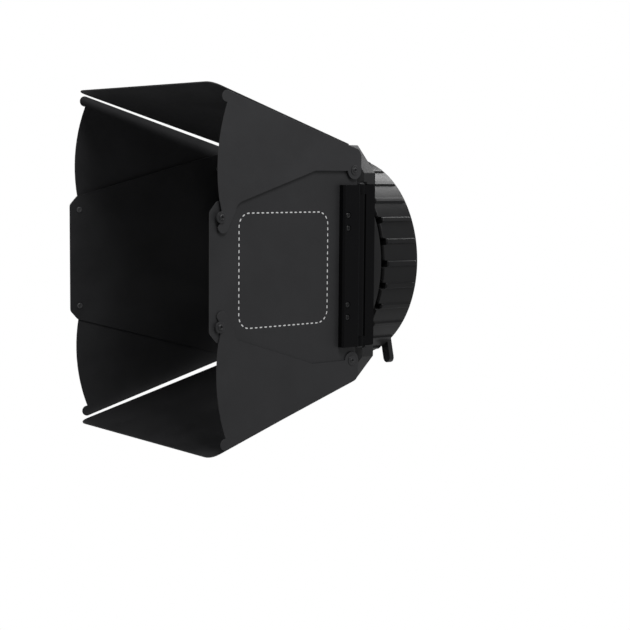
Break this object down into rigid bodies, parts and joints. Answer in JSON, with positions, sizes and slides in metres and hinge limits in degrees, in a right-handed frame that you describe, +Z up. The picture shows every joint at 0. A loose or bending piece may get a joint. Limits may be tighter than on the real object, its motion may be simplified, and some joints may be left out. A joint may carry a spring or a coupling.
{
  "type": "barn door attachment",
  "caption": "Light-shaping accessory: octagonal frame on a round rotating collar mount, with hinged trapezoid door leaves and pivoting corner wings that flare out to trim the beam.",
  "frame": {"origin": "centre of the rear mount face, on the beam axis", "axes": "+Z up, the light travels along -Y and out between the doors, +X is the side of the right door"},
  "size_m": [0.3058, 0.3184, 0.388],
  "materials": {
    "coat": "matt black powder coat on sheet and plate",
    "inner": "matt black coated hinge block",
    "anodised": "satin black anodised, turned",
    "steel": "plain steel",
    "blacked": "black oxide",
    "nylon": "black nylon",
    "grip": "satin black moulded grip"
  },
  "bodies": {
    "mount": {"mount_sleeve": "anodised", "rear_flange": "anodised", "front_snap_ring": "steel", "collar_snap_ring": "steel", "thrust_washer": "nylon", "lever_pivot_screw": "steel", "flange_screw_1": "blacked", "flange_screw_2": "blacked", "flange_screw_3": "blacked", "flange_screw_4": "blacked"},
    "collar": {"knurled_collar": "grip"},
    "lever": {"lock_lever": "blacked"},
    "frame": {"adapter_ring": "anodised", "door_frame": "coat", "frame_screw_1": "blacked", "frame_screw_2": "blacked", "frame_screw_3": "blacked", "frame_screw_4": "blacked", "hinge_base_right": "inner", "hinge_base_left": "inner", "hinge_base_top": "inner", "hinge_base_bottom": "inner", "hinge_pin_right": "blacked", "hinge_pin_left": "blacked", "hinge_pin_top": "blacked", "hinge_pin_bottom": "blacked"},
    "top_door": {"door_top": "coat", "hinge_block_top": "inner"},
    "bottom_door": {"door_bottom": "coat", "hinge_block_bottom": "inner"},
    "right_door": {"side_panel_right": "coat", "hinge_block_right": "inner", "wing_spacer_right": "nylon", "wing_pivot_right_upper": "blacked", "wing_pivot_right_lower": "blacked", "wing_guide_right_upper": "blacked", "wing_guide_right_lower": "blacked"},
    "right_upper_wing": {"wing_right_upper": "coat"},
    "right_lower_wing": {"wing_right_lower": "coat"},
    "left_door": {"side_panel_left": "coat", "hinge_block_left": "inner", "wing_spacer_left": "nylon", "wing_pivot_left_upper": "blacked", "wing_pivot_left_lower": "blacked", "wing_guide_left_upper": "blacked", "wing_guide_left_lower": "blacked"},
    "left_upper_wing": {"wing_left_upper": "coat"},
    "left_lower_wing": {"wing_left_lower": "coat"}
  },
  "joints": [
    {"name": "frame_rotation", "type": "hinge", "parent": "mount", "child": "frame", "pos_m": [0, -0.06, 0], "axis": [0, 1, 0], "continuous": true},
    {"name": "collar_twist", "type": "hinge", "parent": "mount", "child": "collar", "pos_m": [0, -0.034, 0], "axis": [0, 1, 0], "range_deg": [0, 30]},
    {"name": "lever_swing", "type": "hinge", "parent": "mount", "child": "lever", "pos_m": [0.05495, -0.006, -0.08794], "axis": [0, -1, 0], "range_deg": [0, 25]},
    {"name": "right_door_hinge", "type": "hinge", "parent": "frame", "child": "right_door", "pos_m": [0.13, -0.108, 0], "axis": [0, 0, 1], "range_deg": [0, 75]},
    {"name": "left_door_hinge", "type": "hinge", "parent": "frame", "child": "left_door", "pos_m": [-0.13, -0.108, 0], "axis": [0, 0, -1], "range_deg": [0, 75]},
    {"name": "top_door_hinge", "type": "hinge", "parent": "frame", "child": "top_door", "pos_m": [0, -0.108, 0.131], "axis": [-1, 0, 0], "range_deg": [-50, 70]},
    {"name": "bottom_door_hinge", "type": "hinge", "parent": "frame", "child": "bottom_door", "pos_m": [0, -0.108, -0.131], "axis": [1, 0, 0], "range_deg": [-50, 70]},
    {"name": "wing_right_upper_pivot", "type": "hinge", "parent": "right_door", "child": "right_upper_wing", "pos_m": [0.13095, -0.12036, 0.105], "axis": [0.9971, 0.0767, 0], "range_deg": [0, 33]},
    {"name": "wing_right_lower_pivot", "type": "hinge", "parent": "right_door", "child": "right_lower_wing", "pos_m": [0.13095, -0.12036, -0.105], "axis": [-0.9971, -0.0767, 0], "range_deg": [0, 33]},
    {"name": "wing_left_upper_pivot", "type": "hinge", "parent": "left_door", "child": "left_upper_wing", "pos_m": [-0.13095, -0.12036, 0.105], "axis": [0.9971, -0.0767, 0], "range_deg": [0, 33]},
    {"name": "wing_left_lower_pivot", "type": "hinge", "parent": "left_door", "child": "left_lower_wing", "pos_m": [-0.13095, -0.12036, -0.105], "axis": [-0.9971, 0.0767, 0], "range_deg": [0, 33]}
  ]
}
